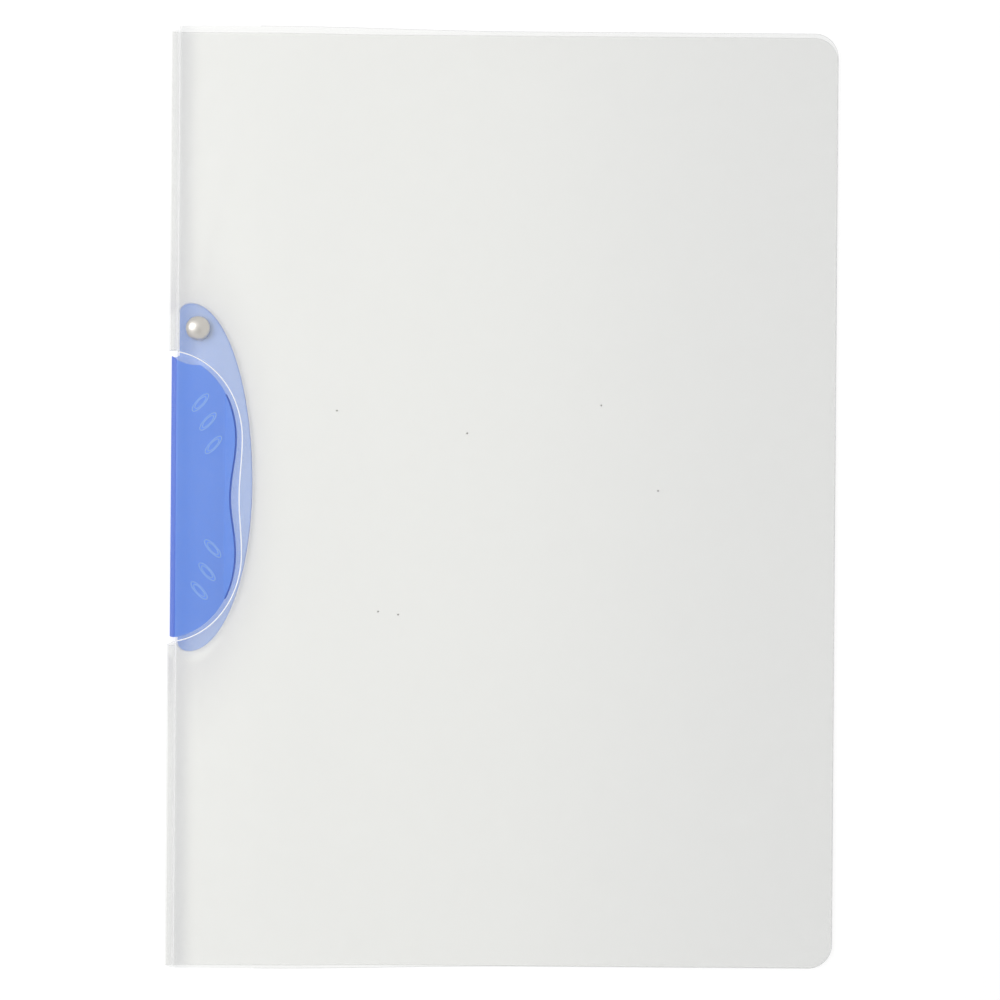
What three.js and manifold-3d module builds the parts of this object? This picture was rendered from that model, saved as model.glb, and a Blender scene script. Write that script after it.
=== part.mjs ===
// A4 clip folder, lying closed on its back: two film covers joined along a spine, and a swing clip
// that turns on a rivet to grip loose sheets. Millimetres, +X to the fore edge, +Y up the page,
// +Z up off the desk.
import * as THREE from "three";
import { mergeVertices } from "three/addons/utils/BufferGeometryUtils.js";
import Module from "manifold-3d";

const wasm = await Module();
wasm.setup();

// Covers
const pageHeight = 310; // front cover, head to foot
const pageWidth = 221; // spine to fore edge
const film = 0.5; // thickness of the film
const foreCorner = 8; // radius of the two corners at the fore edge
const headStep = 1.3; // the back panel ends this far below the front cover's head
const coverGap = 0.3; // air between the closed covers at the fore edge

// Spine
const spineLean = THREE.MathUtils.degToRad(40); // lean of the spine strip from upright
const spineBend = 0.3; // inside radius of the lower fold
const creaseGap = 0.3; // slit that lets the cover turn on the crease

// Run of the two sheets, as distances from the spine
const panelLevel = 32; // the back panel lies level over the clip up to here
const panelFoot = 72; // and lies on the desk from here
const coverLevel = 30; // the front cover stays level up to here
const coverFoot = 118; // and lies on the back panel from here

// Clip
const rearLeaf = 1.5; // thickness of the leaf behind the back panel
const frontLeaf = 1.4; // thickness of the leaf over the sheets, and of the wall
const wallIn = 1.1; // the wall stands this far in from the spine
const jawRise = 4; // the front leaf's top at the wall, above the back panel
const coverClear = 0.3; // air between the clip's top and the front cover
const clipBend = 1.1; // inside radius between wall and front leaf
const clipHalf = 46.6; // half the height of the wall and front leaf
const wallChamfer = 1.2; // corners of the wall's two ends
const gripLine = 19; // distance of the line where the front leaf presses
const lipWidth = 3.6; // the lip reaches this far past it at the two lobes
const lipWaist = 1.7; // and between them
const lobeUp = 19; // the lobes sit this far above and below the middle
const gripGap = 0.3; // air under that line when the clip is empty
const lipRise = 1.3; // the lip beyond the line flares up by this much
const runningGap = 0.3; // air between pieces that turn on each other

// Clip's rear leaf: two half ellipses and a round corner by the spine
const rearCrown = 7; // distance of the ellipses' upright axis from the spine
const rearWidest = 4; // height of their level axis above the middle
const rearReach = 20.6; // half width
const rearHead = 8.3; // the rear leaf's upper end past the rivet's axis
const rearFoot = 4.6; // and its lower end past the wall's lower end
const rearInset = 3.3; // straight side above and below the wall
const rearRound = 3; // height of the rounded corner there

// Cut-outs for the clip
const windowEnd = 1.2; // front cover's window past the front leaf's ends
const windowLobe = 2.3; // and past its lobes
const windowWaist = 3.3; // and past its waist
const notchEnd = 1.6; // spine notch past the wall's ends
const notchSlant = 2; // the lower end of the notch is cut aslant by this much

// Raised grip ovals on the front leaf, in two mirrored rows
const ovalLong = 7.5;
const ovalWide = 2.2;
const ovalRaise = 0.35;
const ovalTilt = THREE.MathUtils.degToRad(48);
const ovalPlaces = [
  { beforeGrip: 8.1, pastLobe: 12 },
  { beforeGrip: 5.6, pastLobe: 5.8 },
  { beforeGrip: 3.8, pastLobe: -1.9 },
];

// Rivet
const rivetIn = 9.5; // distance from the spine
const rivetPast = 9.1; // distance of its axis past the wall's upper end
const capRadius = 4;
const capRim = 0.35; // straight rim under the dome
const capDome = 1.9; // height of the dome above the rim
const shankRadius = 1.5;
const footRadius = 3.8;
const footThick = 0.5;
const footSink = 0.2; // the foot stays this far off the desk
const shankReach = 1.3; // the shank ends this far above the back panel, inside the cap
const shankFit = 0.3; // radial air round the shank

// Places worked out from the sizes above
const left = -pageWidth / 2;
const panelRise = rearLeaf + runningGap;
const panelTop = panelRise + film;
const clipTop = panelTop + jawRise;
const creaseTop = clipTop + coverClear + film;
const foldOuter = film + spineBend;
const foldZ = panelRise + foldOuter;
const leanTan = Math.tan(spineLean);
const creaseIn = foldOuter - foldOuter / Math.cos(spineLean) + (creaseTop - foldZ) * leanTan;
const notchHalf = clipHalf + notchEnd;
const rivetUp = clipHalf + rivetPast;
const rearUp = rivetUp + rearHead - rearWidest;
const rearDown = clipHalf + rearFoot + rearWidest;
const wallClear = wallIn + frontLeaf + runningGap;
const leafLobe = gripLine + lipWidth;
const leafWaist = gripLine + lipWaist;
const swingRadius = Math.hypot(rivetIn, rivetUp - notchHalf) + runningGap;
const shankTop = panelTop + shankReach;

// Fineness of the facets
const roundSteps = 8; // along a small round
const curveSteps = 24; // along a long curve
const turnSides = 40; // round the rivet
const sweepSides = 96; // round the clearance for the swing
const ovalSides = 20;
const overrun = 1; // how far a cut runs past what it cuts
const TURN = 2 * Math.PI;

// A point at a distance from the spine, in the part's frame.
const at = (fromSpine, other) => new THREE.Vector2(left + fromSpine, other);

// Points on an ellipse's arc, from one angle to another, both ends included.
function arc(centreX, centreY, radiusX, radiusY, from, to, steps) {
  return Array.from({ length: steps + 1 }, (_, i) => {
    const angle = from + ((to - from) * i) / steps;
    return at(centreX + radiusX * Math.cos(angle), centreY + radiusY * Math.sin(angle));
  });
}

// Points of a smooth fall between two levels.
function fall(fromX, toX, fromZ, toZ, steps) {
  return Array.from({ length: steps + 1 }, (_, i) => {
    const share = (1 - Math.cos((Math.PI * i) / steps)) / 2;
    return at(fromX + ((toX - fromX) * i) / steps, fromZ + (toZ - fromZ) * share);
  });
}

const raised = (points, by) => points.map((p) => new THREE.Vector2(p.x, p.y + by));

// A closed three.js geometry as a solid.
function solid(geometry) {
  geometry.deleteAttribute("normal");
  geometry.deleteAttribute("uv");
  const merged = mergeVertices(geometry, 1e-4);
  return new wasm.Manifold(
    new wasm.Mesh({
      numProp: 3,
      vertProperties: merged.attributes.position.array,
      triVerts: new Uint32Array(merged.index.array),
    }),
  );
}

// An outline seen from above, between two heights.
function plate(outline, low, high) {
  const shape = new THREE.Shape(outline);
  const flat = new THREE.ExtrudeGeometry(shape, { depth: high - low, bevelEnabled: false });
  return solid(flat.translate(0, 0, low));
}

// A section seen along the spine, between two heights up the page.
function section(outline, low, high) {
  const shape = new THREE.Shape(outline);
  const run = new THREE.ExtrudeGeometry(shape, { depth: high - low, bevelEnabled: false });
  return solid(run.rotateX(Math.PI / 2).translate(0, high, 0));
}

// A turned piece on the rivet's axis, from a profile of radius and height.
function turned(profile, sides) {
  const points = profile.map(([radius, height]) => new THREE.Vector2(radius, height));
  const lathe = new THREE.LatheGeometry(points, sides).rotateX(Math.PI / 2);
  return solid(lathe.translate(left + rivetIn, rivetUp, 0));
}

function mesh(name, body, material) {
  const made = body.getMesh();
  const geometry = new THREE.BufferGeometry();
  geometry.setAttribute("position", new THREE.BufferAttribute(made.vertProperties, 3));
  geometry.setIndex(new THREE.BufferAttribute(made.triVerts, 1));
  const named = new THREE.Mesh(geometry, material);
  named.name = name;
  return named;
}

// The sheet's outline from above, with the two fore corners rounded.
function sheetOutline(foot, head) {
  const inner = pageWidth - foreCorner;
  return [
    at(-overrun, foot),
    ...arc(inner, foot + foreCorner, foreCorner, foreCorner, -TURN / 4, 0, roundSteps),
    ...arc(inner, head - foreCorner, foreCorner, foreCorner, 0, TURN / 4, roundSteps),
    at(-overrun, head),
  ];
}

// The two-lobed outline of the clip's front leaf, or of the window round it.
function lobedOutline(half, lobe, waist) {
  const shoulder = arc(0, lobeUp, lobe, half - lobeUp, TURN / 4, 0, curveSteps);
  const dip = Array.from({ length: curveSteps - 1 }, (_, i) => {
    const up = lobeUp * (1 - (2 * (i + 1)) / curveSteps);
    const share = (1 - Math.cos((Math.PI * up) / lobeUp)) / 2;
    return at(waist + (lobe - waist) * share, up);
  });
  const lower = shoulder.map((p) => new THREE.Vector2(p.x, -p.y)).reverse();
  return [at(-overrun, half), ...shoulder, ...dip, ...lower, at(-overrun, -half)];
}

function frontCover() {
  const flat = film + coverGap;
  const under = [
    at(creaseIn, creaseTop - film),
    ...fall(coverLevel, coverFoot, creaseTop - film, flat, curveSteps),
    at(pageWidth, flat),
  ];
  const profile = [...under, ...raised(under, film).reverse()];
  const half = pageHeight / 2;
  const window = lobedOutline(clipHalf + windowEnd, leafLobe + windowLobe, leafWaist + windowWaist);
  return section(profile, -half, half)
    .intersect(plate(sheetOutline(-half, half), 0, creaseTop + overrun))
    .subtract(plate(window, 0, creaseTop + overrun));
}

function backCover() {
  const stripTop = creaseTop - film - creaseGap;
  const stripIn = creaseIn - (creaseTop - stripTop) * leanTan;
  const strip = Math.PI - spineLean;
  const under = [...fall(panelLevel, panelFoot, panelRise, 0, curveSteps), at(pageWidth, 0)];
  const profile = [
    at(stripIn, stripTop),
    ...arc(foldOuter, foldZ, foldOuter, foldOuter, strip, (3 * TURN) / 4, roundSteps),
    ...under,
    ...raised(under, film).reverse(),
    ...arc(foldOuter, foldZ, spineBend, spineBend, (3 * TURN) / 4, strip, roundSteps),
    at(stripIn + film / Math.cos(spineLean), stripTop),
  ];
  const foot = -pageHeight / 2;
  const head = pageHeight / 2 - headStep;
  const stripNotch = [
    at(-overrun, -notchHalf - notchSlant / 2),
    at(creaseIn + overrun, -notchHalf + notchSlant / 2),
    at(creaseIn + overrun, notchHalf),
    at(-overrun, notchHalf),
  ];
  const edgeNotch = [
    at(-overrun, -notchHalf - notchSlant / 2),
    at(wallClear, -notchHalf - notchSlant / 2),
    at(wallClear, notchHalf),
    at(-overrun, notchHalf),
  ];
  const hole = turned(
    [
      [0, 0],
      [shankRadius + shankFit, 0],
      [shankRadius + shankFit, creaseTop],
      [0, creaseTop],
    ],
    turnSides,
  );
  return section(profile, foot, head)
    .intersect(plate(sheetOutline(foot, head), -overrun, creaseTop))
    .subtract(plate(stripNotch, panelTop, creaseTop))
    .subtract(plate(edgeNotch, 0, creaseTop))
    .subtract(hole);
}

// Section of the wall and the front leaf: up, over, down to the grip line and out to the lip.
function clipSection(raise) {
  const gripUnder = panelTop + gripGap;
  const outer = clipBend + frontLeaf;
  const bendIn = wallIn + outer;
  const bendZ = clipTop - outer;
  const slope = Math.atan2(clipTop - frontLeaf - gripUnder, gripLine - bendIn);
  const over = TURN / 4 - slope;
  const lipEnd = leafLobe + overrun;
  const rise = (lipRise * (lipEnd - gripLine)) / lipWidth;
  const top = [
    at(wallIn, 0),
    ...arc(bendIn, bendZ, outer, outer, TURN / 2, over, roundSteps),
    at(gripLine, gripUnder + frontLeaf),
    at(lipEnd, gripUnder + frontLeaf + rise),
  ];
  const under = [
    at(lipEnd, gripUnder + rise),
    at(gripLine, gripUnder),
    ...arc(bendIn, bendZ, clipBend, clipBend, over, TURN / 2, roundSteps),
    at(wallIn + frontLeaf, 0),
  ];
  return [...raised(top, raise), ...under];
}

function rearOutline() {
  const side = rearCrown - rearInset;
  const upperRound = rearWidest + rearUp - rearRound;
  const lowerRound = rearWidest - rearDown + rearRound;
  return [
    ...arc(rearCrown, rearWidest, rearReach, rearUp, 0, TURN / 4, curveSteps),
    ...arc(rearCrown, upperRound, side, rearRound, TURN / 4, TURN / 2, roundSteps),
    at(rearInset, clipHalf),
    at(rearInset, -clipHalf),
    ...arc(rearCrown, lowerRound, side, rearRound, TURN / 2, (3 * TURN) / 4, roundSteps),
    ...arc(rearCrown, rearWidest, rearReach, rearDown, (3 * TURN) / 4, TURN, curveSteps),
  ];
}

// Footprint of the wall and front leaf, with the wall's ends chamfered.
function wallOutline() {
  const outline = lobedOutline(clipHalf, leafLobe, leafWaist).slice(1, -1);
  const first = at(wallIn + wallChamfer, clipHalf);
  const last = at(wallIn + wallChamfer, -clipHalf);
  const inside = outline.filter((p) => p.x > first.x);
  return [
    at(wallIn, clipHalf - wallChamfer),
    first,
    ...inside,
    last,
    at(wallIn, wallChamfer - clipHalf),
  ];
}

// Strip of the rear leaf that reaches out to the wall.
function wallFoot() {
  return [
    at(wallIn, clipHalf - wallChamfer),
    at(wallIn, wallChamfer - clipHalf),
    at(wallIn + wallChamfer, -clipHalf),
    at(rearInset + overrun, -clipHalf),
    at(rearInset + overrun, clipHalf),
    at(wallIn + wallChamfer, clipHalf),
  ];
}

function ovalOutline(fromSpine, up, tilt) {
  return Array.from({ length: ovalSides }, (_, i) => {
    const angle = (TURN * i) / ovalSides;
    const long = (ovalLong / 2) * Math.cos(angle);
    const wide = (ovalWide / 2) * Math.sin(angle);
    const x = long * Math.cos(tilt) - wide * Math.sin(tilt);
    const y = long * Math.sin(tilt) + wide * Math.cos(tilt);
    return at(fromSpine + x, up + y);
  });
}

function swingClip() {
  // Room round the rivet, so that the turning clip passes the end of the spine strip.
  const swept = turned(
    [
      [0, rearLeaf],
      [swingRadius, rearLeaf],
      [swingRadius, clipTop + overrun],
      [0, clipTop + overrun],
    ],
    sweepSides,
  );
  let clip = section(clipSection(0), -clipHalf, clipHalf)
    .intersect(plate(wallOutline(), 0, clipTop + overrun))
    .subtract(swept)
    .add(plate(rearOutline(), 0, rearLeaf))
    .add(plate(wallFoot(), 0, rearLeaf));
  const pads = section(clipSection(ovalRaise), -clipHalf, clipHalf);
  for (const { beforeGrip, pastLobe } of ovalPlaces) {
    for (const side of [1, -1]) {
      const up = side * (lobeUp + pastLobe);
      const outline = ovalOutline(gripLine - beforeGrip, up, side * ovalTilt);
      clip = clip.add(pads.intersect(plate(outline, panelTop, clipTop + overrun)));
    }
  }
  const sink = footSink + footThick + runningGap;
  const bore = turned(
    [
      [0, -overrun],
      [footRadius + runningGap, -overrun],
      [footRadius + runningGap, sink],
      [shankRadius + runningGap, sink],
      [shankRadius + runningGap, rearLeaf + overrun],
      [0, rearLeaf + overrun],
    ],
    turnSides,
  );
  return clip.subtract(bore);
}

// Domed head on the inside of the back panel, with a blind bore for the shank.
function rivetCap() {
  const rim = panelTop + capRim;
  const bore = shankRadius + shankFit;
  const boreTop = shankTop + shankFit;
  const dome = Array.from({ length: roundSteps + 1 }, (_, i) => {
    const angle = ((TURN / 4) * i) / roundSteps;
    return [capRadius * Math.cos(angle), rim + capDome * Math.sin(angle)];
  });
  dome[dome.length - 1][0] = 0;
  return turned(
    [[0, boreTop], [bore, boreTop], [bore, panelTop], [capRadius, panelTop], ...dome],
    turnSides,
  );
}

// Flat foot in the rear leaf's recess, with the shank that holds the cap.
function rivetPost() {
  const footTop = footSink + footThick;
  return turned(
    [
      [0, footSink],
      [footRadius, footSink],
      [footRadius, footTop],
      [shankRadius, footTop],
      [shankRadius, shankTop],
      [0, shankTop],
    ],
    turnSides,
  );
}

const filmFinish = new THREE.MeshStandardMaterial({ color: 0xe9eae8, roughness: 0.55 });
const clipFinish = new THREE.MeshStandardMaterial({ color: 0x6f8fe0, roughness: 0.35 });
const rivetFinish = new THREE.MeshStandardMaterial({ color: 0xb9b2aa, roughness: 0.3, metalness: 1 });

const folder = new THREE.Group();
folder.add(
  mesh("back_cover", backCover(), filmFinish),
  mesh("front_cover", frontCover(), filmFinish),
  mesh("swing_clip", swingClip(), clipFinish),
  mesh("rivet_cap", rivetCap(), rivetFinish),
  mesh("rivet_post", rivetPost(), rivetFinish),
);

export default folder;
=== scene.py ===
# %% [markdown]
# # A clip folder in frosted film
#
# The object is a folder for loose sheets: two covers of frosted film, folded along a spine, and a blue
# plastic clip that swings on a rivet and grips the sheets. The measured solids are loaded first and stay
# where they are. Each piece below is made in the same place, in metres, with +Y up the page and +Z up
# off the desk, so nothing has to be fitted by eye.

# %% Load the measured frame
import math

import bmesh
import bpy
from mathutils import Matrix


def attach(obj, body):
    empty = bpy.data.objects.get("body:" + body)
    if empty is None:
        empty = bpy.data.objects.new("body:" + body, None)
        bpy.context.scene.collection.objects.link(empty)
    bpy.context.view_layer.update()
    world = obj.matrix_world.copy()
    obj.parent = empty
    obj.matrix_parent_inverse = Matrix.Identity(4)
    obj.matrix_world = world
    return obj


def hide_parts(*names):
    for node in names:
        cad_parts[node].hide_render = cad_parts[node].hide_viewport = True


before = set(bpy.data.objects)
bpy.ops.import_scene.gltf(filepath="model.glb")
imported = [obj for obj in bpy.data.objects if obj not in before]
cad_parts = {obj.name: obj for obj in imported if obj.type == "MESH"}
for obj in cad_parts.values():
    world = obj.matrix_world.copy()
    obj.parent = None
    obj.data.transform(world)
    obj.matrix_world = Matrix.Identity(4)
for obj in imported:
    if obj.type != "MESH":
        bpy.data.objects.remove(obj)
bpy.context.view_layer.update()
bpy.context.scene.view_settings.view_transform = "Standard"

# %% [markdown]
# ## Sizes
# The sizes are written as a maker would give them, in millimetres, measured from the spine edge and from
# the middle of the page. `MM` turns them into metres, and `SPINE` moves them to the frame's middle.

# %% Sizes of the covers
MM = 0.001
PAGE_HEIGHT = 310.0
PAGE_WIDTH = 221.0
SPINE = -PAGE_WIDTH / 2
HALF_PAGE = PAGE_HEIGHT / 2
FILM = 0.5
FORE_CORNER = 8.0
HEAD_STEP = 1.3  # the back cover ends this far below the front cover's head
PANEL_RISE = 1.8  # the back cover lies this high over the clip's rear leaf
PANEL_TOP = PANEL_RISE + FILM
PANEL_FALL = (32, 72)  # and drops to the desk between these distances
COVER_FALL = (30, 118)  # the front cover drops between these
COVER_REST = 0.8  # down to this height, on the back cover
CREASE_TOP = 7.1
CREASE_IN = 3.532
STRIP_TOP = 6.3
STRIP_IN = 2.861
print("page", PAGE_WIDTH, "by", PAGE_HEIGHT, "mm")

# %% Sizes of the clip and rivet
CLIP_SHEET = 1.4
CLIP_TOP = 6.3
CLIP_HALF = 46.6
NOTCH_HALF = CLIP_HALF + 1.6
LOBE_UP = 19.0  # the lobes sit this far above and below the middle
LOBE_OUT = 22.6
WAIST_OUT = 20.7
WALL_IN = 1.1  # the wall stands this far in from the spine
GRIP_LINE = 19.0  # the front leaf presses on the sheets here
GRIP_HEIGHT = 3.3
REAR_MIDDLE = (7, 4)  # middle of the rear leaf's oval
REAR_OUT = 20.6  # and its half width
REAR_TIP = REAR_MIDDLE[0] + REAR_OUT
RIVET_IN = 9.5
RIVET_UP = 55.7
SWING_CLEAR = 12.4  # radius that the clip leaves free round the rivet
SHANK = 1.8  # radius of the rivet's hole
print("clip", 2 * CLIP_HALF, "mm high, rivet", RIVET_UP, "mm above the middle")

# %% [markdown]
# ## The camera
# The photograph looks straight down from about 0.7 m. A lens near 76 mm on a 36 mm sensor then shows 332 mm
# of desk. The folder lies a little askew in the picture, so the camera is turned by the same angle and
# the folder stays square to the frame.

# %% Camera above the folder
camera_data = bpy.data.cameras.new("overhead")
camera_data.lens = 75.76
camera_data.sensor_width = 36.0
camera = bpy.data.objects.new("overhead", camera_data)
bpy.context.scene.collection.objects.link(camera)
camera.location = (-0.66 * MM, -0.4 * MM, 0.6988)
camera.rotation_euler = (0.0, 0.0, math.radians(0.43))
bpy.context.scene.camera = camera
print("camera at", tuple(camera.location))

# %% [markdown]
# ## The grain of moulded and rolled plastic
# Frosted film and the clip both have a fine matte grain, with faint clouds where the sheet is a little
# thicker. One node group makes both patterns, and each material places it with its own values. It reads
# Object coordinates, in metres, so the grain has the same size on every piece.


# %% Node group for grain and clouds
def socket(group, name, kind, into=True, value=None):
    made = group.interface.new_socket(
        name=name, in_out="INPUT" if into else "OUTPUT", socket_type=kind
    )
    if value is not None:
        made.default_value = value
    return made


def plastic_grain():
    group = bpy.data.node_groups.new("plastic_grain", "ShaderNodeTree")
    socket(group, "Grain per metre", "NodeSocketFloat", value=2600.0)
    socket(group, "Clouds per metre", "NodeSocketFloat", value=14.0)
    socket(group, "Grain share", "NodeSocketFloat", value=0.3)
    socket(group, "Height", "NodeSocketFloat", into=False)
    socket(group, "Tone", "NodeSocketFloat", into=False)
    add = group.nodes.new
    link = group.links.new
    inside = add("NodeGroupInput")
    outside = add("NodeGroupOutput")
    place = add("ShaderNodeTexCoord")
    grain = add("ShaderNodeTexNoise")
    grain.inputs["Detail"].default_value = 2.0
    clouds = add("ShaderNodeTexNoise")
    clouds.inputs["Detail"].default_value = 3.0
    blend = add("ShaderNodeMix")
    link(place.outputs["Object"], grain.inputs["Vector"])
    link(place.outputs["Object"], clouds.inputs["Vector"])
    link(inside.outputs["Grain per metre"], grain.inputs["Scale"])
    link(inside.outputs["Clouds per metre"], clouds.inputs["Scale"])
    link(inside.outputs["Grain share"], blend.inputs["Factor"])
    link(clouds.outputs["Fac"], blend.inputs["A"])
    link(grain.outputs["Fac"], blend.inputs["B"])
    link(grain.outputs["Fac"], outside.inputs["Height"])
    link(blend.outputs["Result"], outside.inputs["Tone"])
    return group


grain_group = plastic_grain()
print("group", grain_group.name, "has", len(grain_group.nodes), "nodes")

# %% [markdown]
# ## Materials that let light through
# Film and clip are plastics that light passes through and scatters in. A thin sheet hardly bends the view,
# so Alpha does the see-through part, and the base colour does the scattered part. A sheet has two faces,
# and counting both would make it twice as dense, so Backfacing leaves the far one clear. Cut edges gather
# light from the whole sheet, so they have a denser finish of their own. One function makes all of them:
# two tones that the clouds blend, a roughness, an alpha for the eye, a weaker one for light, and the
# share of fine grain in the blend.
#
# Plastic also passes on most of the light that it scatters. Alpha alone would lose that light and leave
# what lies below too dark, so a sheet is denser to the eye than it is to light: Light Path tells the two
# apart.


# %% Function for a see-through plastic
def seen_directly(nodes, link):
    """1 for camera, glossy and transmission rays, otherwise 0."""
    path = nodes.new("ShaderNodeLightPath")
    first = nodes.new("ShaderNodeMath")
    first.operation = "MAXIMUM"
    second = nodes.new("ShaderNodeMath")
    second.operation = "MAXIMUM"
    link(path.outputs["Is Camera Ray"], first.inputs[0])
    link(path.outputs["Is Glossy Ray"], first.inputs[1])
    link(first.outputs["Value"], second.inputs[0])
    link(path.outputs["Is Transmission Ray"], second.inputs[1])
    return second.outputs["Value"]


GRAIN_DEPTH = 0.02


def plastic(name, dark, light, rough, alpha, shade, share=0.3):
    made = bpy.data.materials.new(name)
    made.use_nodes = True
    nodes = made.node_tree.nodes
    link = made.node_tree.links.new
    shader = nodes["Principled BSDF"]
    shader.inputs["Roughness"].default_value = rough
    shader.inputs["IOR"].default_value = 1.49
    pattern = nodes.new("ShaderNodeGroup")
    pattern.node_tree = grain_group
    pattern.inputs["Grain share"].default_value = share
    tones = nodes.new("ShaderNodeMix")
    tones.data_type = "RGBA"
    tones.inputs["A"].default_value = (*dark, 1.0)
    tones.inputs["B"].default_value = (*light, 1.0)
    bump = nodes.new("ShaderNodeBump")
    bump.inputs["Strength"].default_value = 1.0
    bump.inputs["Distance"].default_value = GRAIN_DEPTH * MM
    side = nodes.new("ShaderNodeNewGeometry")
    once = nodes.new("ShaderNodeMix")
    once.inputs["B"].default_value = 0.0
    dense = nodes.new("ShaderNodeMix")
    dense.inputs["A"].default_value = shade
    dense.inputs["B"].default_value = alpha
    link(seen_directly(nodes, link), dense.inputs["Factor"])
    link(dense.outputs["Result"], once.inputs["A"])
    link(side.outputs["Backfacing"], once.inputs["Factor"])
    link(once.outputs["Result"], shader.inputs["Alpha"])
    link(pattern.outputs["Tone"], tones.inputs["Factor"])
    link(tones.outputs["Result"], shader.inputs["Base Color"])
    link(pattern.outputs["Height"], bump.inputs["Height"])
    link(bump.outputs["Normal"], shader.inputs["Normal"])
    return made


# %% The film's finishes
film_frosted = plastic("film_frosted", (0.49, 0.50, 0.44), (0.53, 0.54, 0.48), 0.5, 0.2, 0.06)
film_edge = plastic("film_cut_edge", (0.42, 0.43, 0.43), (0.48, 0.49, 0.49), 0.4, 0.5, 0.2)
# A light finish for the crease's edges and wires: painted highlight.
film_crease = plastic("film_crease", (0.76, 0.77, 0.77), (0.82, 0.83, 0.83), 0.35, 0.4, 0.1)
# A near-white finish for the window's edge and lip: painted highlight.
film_window_highlight = plastic("film_bright_edge", (0.93, 0.94, 0.94), (0.97, 0.98, 0.98), 0.3, 0.9, 0.2)
print("film", [finish.name for finish in (film_frosted, film_edge, film_crease, film_window_highlight)])


# %% The clip's finishes
def blue(part, dark, light, rough, alpha, shade, share=0.3):
    return plastic("clip_blue" + part, dark, light, rough, alpha, shade, share)


clip_blue = blue("", (0.095, 0.24, 0.78), (0.125, 0.28, 0.84), 0.35, 0.76, 0.3, 0.15)
# The rear leaf, seen through the films, takes a lighter, clearer copy of the clip's blue: painted light.
clip_rear_painted_light = blue("_rear", (0.13, 0.33, 0.95), (0.16, 0.37, 0.98), 0.45, 0.67, 0.2, 0.15)
clip_edge = blue("_edge", (0.02, 0.095, 0.56), (0.035, 0.13, 0.62), 0.5, 0.9, 0.5)
# A darker copy of the clip's blue for the lip: painted shade.
clip_lip_painted_shade = blue("_lip", (0.075, 0.21, 0.70), (0.095, 0.24, 0.76), 0.6, 0.8, 0.3, 0.15)
# A dark blue for the line along the rear leaf's edge: painted shade.
clip_shadow = blue("_shadow", (0.04, 0.12, 0.52), (0.06, 0.16, 0.58), 0.6, 0.22, 0.1)
# A light blue for the grip ovals' raised rims: painted highlight.
clip_rim_painted_highlight = blue("_rim", (0.40, 0.66, 0.99), (0.48, 0.74, 1.0), 0.3, 0.42, 0.1)
print("clip", [finish.name for finish in (clip_blue, clip_rear_painted_light, clip_edge, clip_lip_painted_shade, clip_rim_painted_highlight)])

# %% [markdown]
# ## Painted shade beside the crease and towards the fore edge
# Beside its crease the front cover's film is painted a little greyer in a band: painted shade. It could be
# a piece of its own, but it has no edge of its own, so it is a soft mask over the distance from the spine,
# which darkens the film's tones. The same mask, made very wide, greys the film towards the fore edge, where
# the two covers lie on each other and less light gets in between them: painted shade too.


# %% Node group for the painted shade band
def pressed_band():
    group = bpy.data.node_groups.new("pressed_band", "ShaderNodeTree")
    socket(group, "Middle", "NodeSocketFloat")
    socket(group, "Half width", "NodeSocketFloat")
    socket(group, "Mask", "NodeSocketFloat", into=False)
    add = group.nodes.new
    link = group.links.new
    inside = add("NodeGroupInput")
    outside = add("NodeGroupOutput")
    place = add("ShaderNodeTexCoord")
    parts = add("ShaderNodeSeparateXYZ")
    off = add("ShaderNodeMath")
    off.operation = "SUBTRACT"
    away = add("ShaderNodeMath")
    away.operation = "ABSOLUTE"
    fade = add("ShaderNodeMapRange")
    fade.interpolation_type = "SMOOTHSTEP"
    fade.inputs["To Min"].default_value = 1.0
    fade.inputs["To Max"].default_value = 0.0
    link(place.outputs["Object"], parts.inputs["Vector"])
    link(parts.outputs["X"], off.inputs[0])
    link(inside.outputs["Middle"], off.inputs[1])
    link(off.outputs["Value"], away.inputs[0])
    link(away.outputs["Value"], fade.inputs["Value"])
    link(inside.outputs["Half width"], fade.inputs["From Max"])
    link(fade.outputs["Result"], outside.inputs["Mask"])
    return group


shade_band_group = pressed_band()


def paint_shade_tone(material, group, values, tone):
    """Mixes a material's base colour towards a darker tone where the group's mask is high: painted shade.
    """
    nodes = material.node_tree.nodes
    link = material.node_tree.links.new
    shader = nodes["Principled BSDF"]
    tones = shader.inputs["Base Color"].links[0].from_socket
    place = nodes.new("ShaderNodeGroup")
    place.node_tree = group
    for name, value in values.items():
        place.inputs[name].default_value = value
    darker = nodes.new("ShaderNodeMix")
    darker.data_type = "RGBA"
    darker.inputs["B"].default_value = (*tone, 1.0)
    link(place.outputs["Mask"], darker.inputs["Factor"])
    link(tones, darker.inputs["A"])
    link(darker.outputs["Result"], shader.inputs["Base Color"])


def paint_shade_band(material, middle, half_width, tone):
    values = {"Middle": (SPINE + middle) * MM, "Half width": half_width * MM}
    paint_shade_tone(material, shade_band_group, values, tone)


shade_band_middle = 4.4
shade_band_half = 6.0
# Painted shade: the film greys towards the fore edge.
paint_shade_band(film_frosted, PAGE_WIDTH, 150.0, (0.37, 0.38, 0.35))
# Painted shade: a grey band beside the crease.
paint_shade_band(film_frosted, shade_band_middle, shade_band_half, (0.15, 0.16, 0.155))
print("painted shade band up to", shade_band_middle + shade_band_half, "mm from the spine")

# %% [markdown]
# ## The soft shade round the clip
# The clip's rear leaf lies behind the panel, and through two frosted sheets its edge is not sharp: a soft
# shade spreads past it. Blurring the light in the film would be slow to render and grainy, so a second
# mask does it. It is high on the rim of an oval and fades outwards, and it greys the film there. Only
# the back cover, which lies on the leaf, has it, so an opened front cover carries no shade away.


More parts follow.
